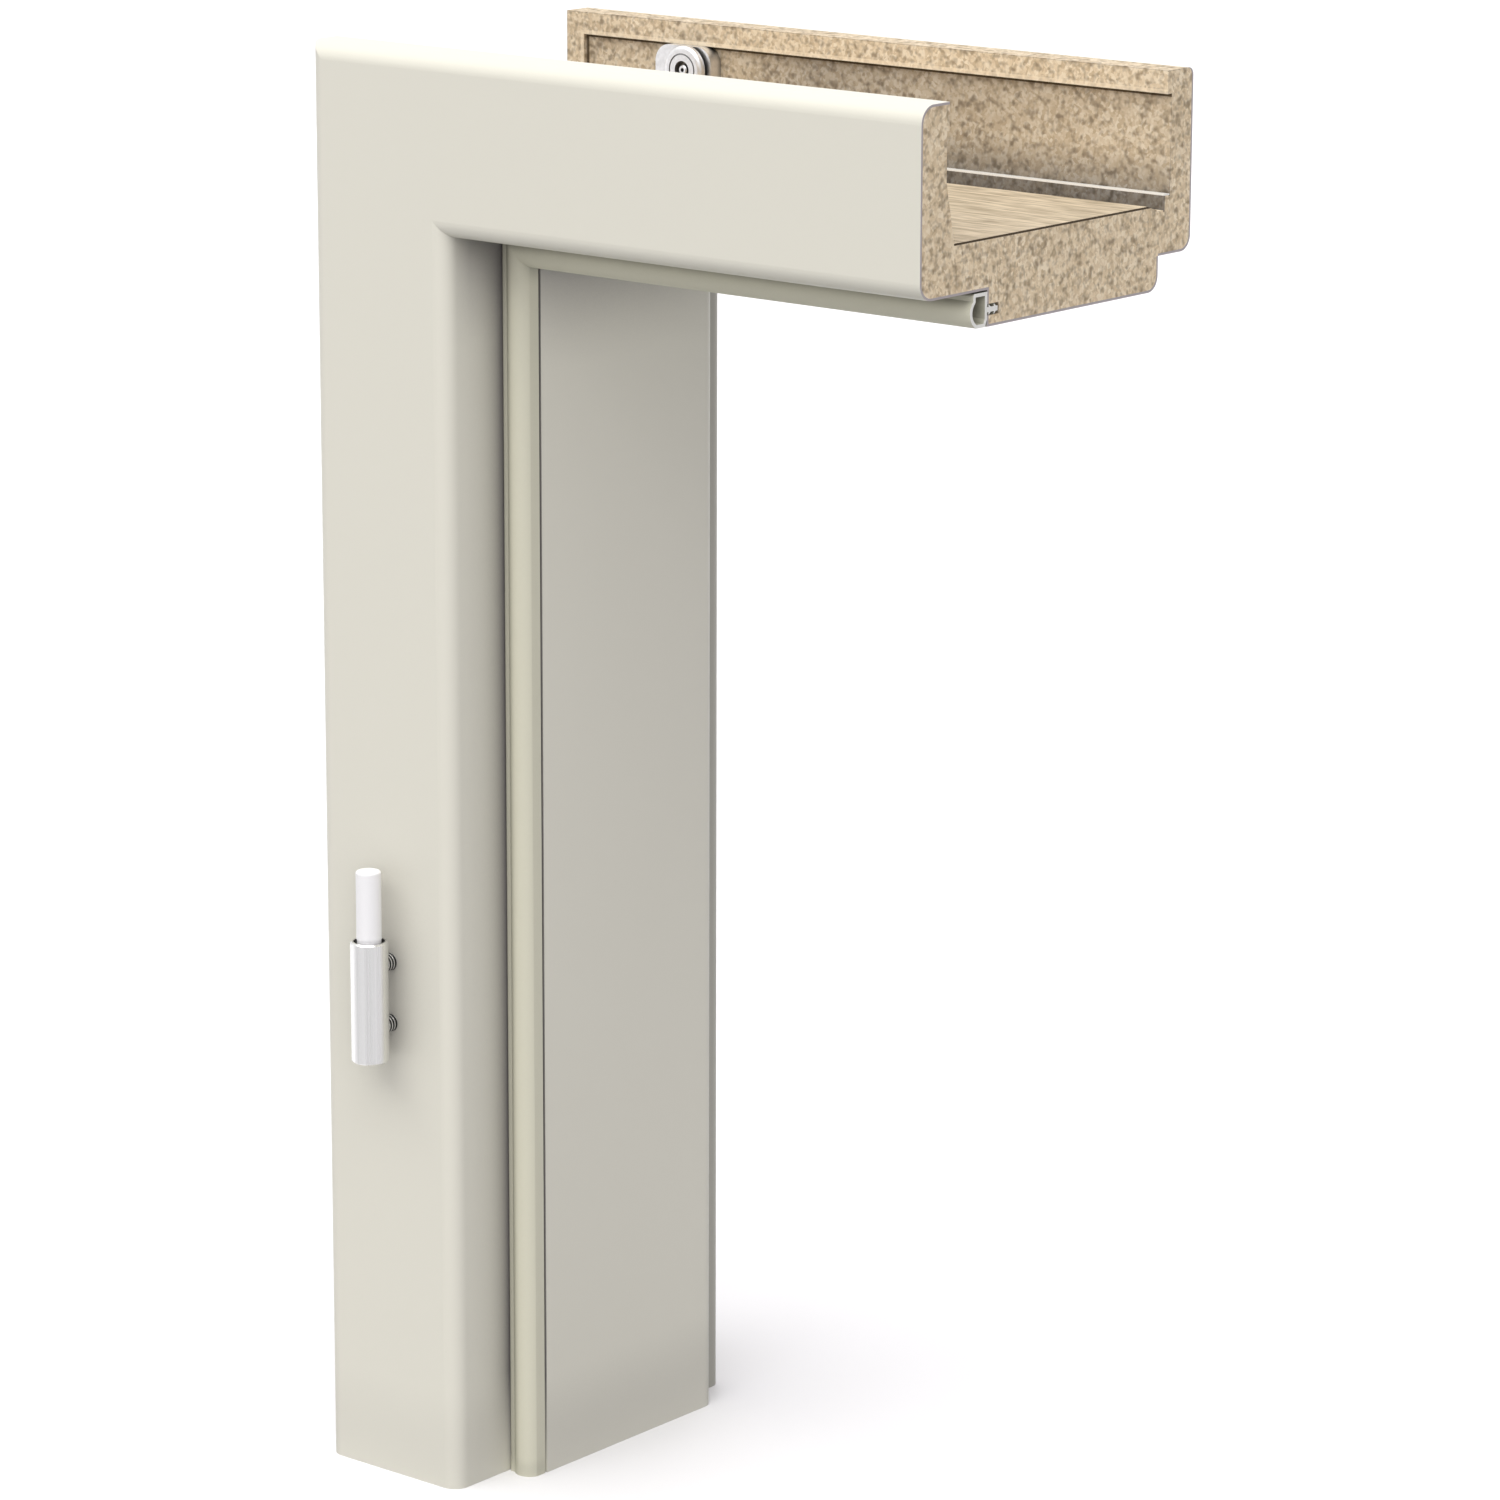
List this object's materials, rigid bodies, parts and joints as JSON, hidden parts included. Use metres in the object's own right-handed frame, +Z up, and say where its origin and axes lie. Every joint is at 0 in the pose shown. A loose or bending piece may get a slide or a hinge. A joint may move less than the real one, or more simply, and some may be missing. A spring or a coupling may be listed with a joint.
{
  "type": "door frame corner section",
  "caption": "Corner section of a timber casing door frame: lining with door rebate and seal, front and rear casings, hinge pin and corner connector.",
  "frame": {"origin": "on the wall side of the jamb's lining, halfway through its depth, 250 mm above the jamb's foot", "axes": "+Z up along the jamb, +X from the jamb into the doorway along the head, +Y from the front casing to the rear casing"},
  "size_m": [0.298, 0.1844, 0.574],
  "materials": {
    "chipboard": "sawn, open chips",
    "coating": "satin laminate",
    "backing": "matt kraft foil",
    "seal": "matt",
    "hinge_steel": "nickel-plated",
    "bush": "moulded",
    "connector_zinc": "zinc-plated"
  },
  "bodies": {
    "root": {"front_casing_jamb": "chipboard", "front_casing_head": "chipboard", "front_casing_coat_jamb": "coating", "front_casing_coat_head": "coating", "lining_jamb": "chipboard", "lining_head": "chipboard", "lining_backing_jamb": "backing", "lining_backing_head": "backing", "rebate_coat_jamb": "coating", "rebate_coat_head": "coating", "lining_coat_jamb": "coating", "lining_coat_head": "coating", "rear_casing_jamb": "chipboard", "rear_casing_head": "chipboard", "rear_casing_coat_jamb": "coating", "rear_casing_coat_head": "coating", "ledge_edging_jamb": "coating", "ledge_edging_head": "coating", "door_seal_jamb": "seal", "door_seal_head": "seal", "hinge_sleeve": "hinge_steel", "hinge_bush": "bush", "hinge_pin": "hinge_steel", "hinge_peg_lower": "hinge_steel", "hinge_peg_upper": "hinge_steel", "connector_plate": "connector_zinc", "connector_drum": "connector_zinc", "connector_screw": "connector_zinc"}
  },
  "joints": []
}
